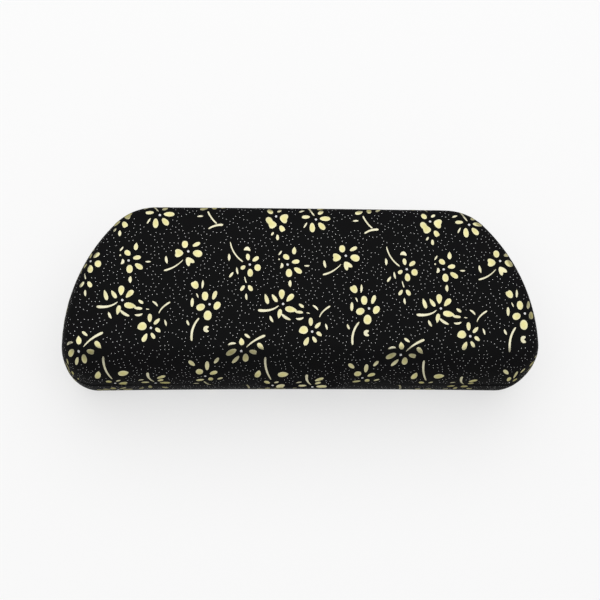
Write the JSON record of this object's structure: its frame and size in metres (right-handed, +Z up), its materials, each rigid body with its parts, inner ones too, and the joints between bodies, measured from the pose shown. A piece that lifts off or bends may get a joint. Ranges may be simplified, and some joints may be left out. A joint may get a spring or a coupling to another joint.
{
  "type": "eyeglasses case",
  "caption": "Hard clamshell eyeglasses case of pressed steel under black cloth with a small gold floral print, lined inside, with a snap hinge along the back and a thumb lip in front.",
  "frame": {"origin": "middle of the box round the closed case, on the plane it rests on", "axes": "+X along the width, +Y towards the hinge, +Z up"},
  "size_m": [0.16, 0.0613, 0.038],
  "materials": {
    "steel": "pressed sheet steel",
    "printed_cloth": "black cloth with a gold print",
    "lining": "short charcoal flock",
    "card": "greyboard",
    "hinge_steel": "nickel-plated steel",
    "rivet": "bright steel",
    "spring_steel": "blued spring steel"
  },
  "bodies": {
    "base": {"base_shell": "steel", "base_cloth": "printed_cloth", "base_lining": "lining", "base_card": "card", "base_hinge_leaf": "hinge_steel", "base_rivets": "rivet", "hinge_pin": "hinge_steel"},
    "lid": {"lid_shell": "steel", "lid_cloth": "printed_cloth", "lid_lining": "lining", "lid_card": "card", "lid_hinge_leaf": "hinge_steel", "lid_rivets": "rivet"},
    "spring": {"snap_spring": "spring_steel"}
  },
  "joints": [
    {"name": "lid_hinge", "type": "hinge", "parent": "base", "child": "lid", "pos_m": [0, 0.02913, 0.018], "axis": [-1, 0, 0], "range_deg": [0, 95]},
    {"name": "spring_pivot", "type": "hinge", "parent": "base", "child": "spring", "pos_m": [0, 0.02652, 0.0128], "axis": [-1, 0, 0], "range_deg": [0, 47.5]}
  ],
  "couplings": [
    {"joint": "spring_pivot", "follows": "lid_hinge", "ratio": 0.5}
  ]
}
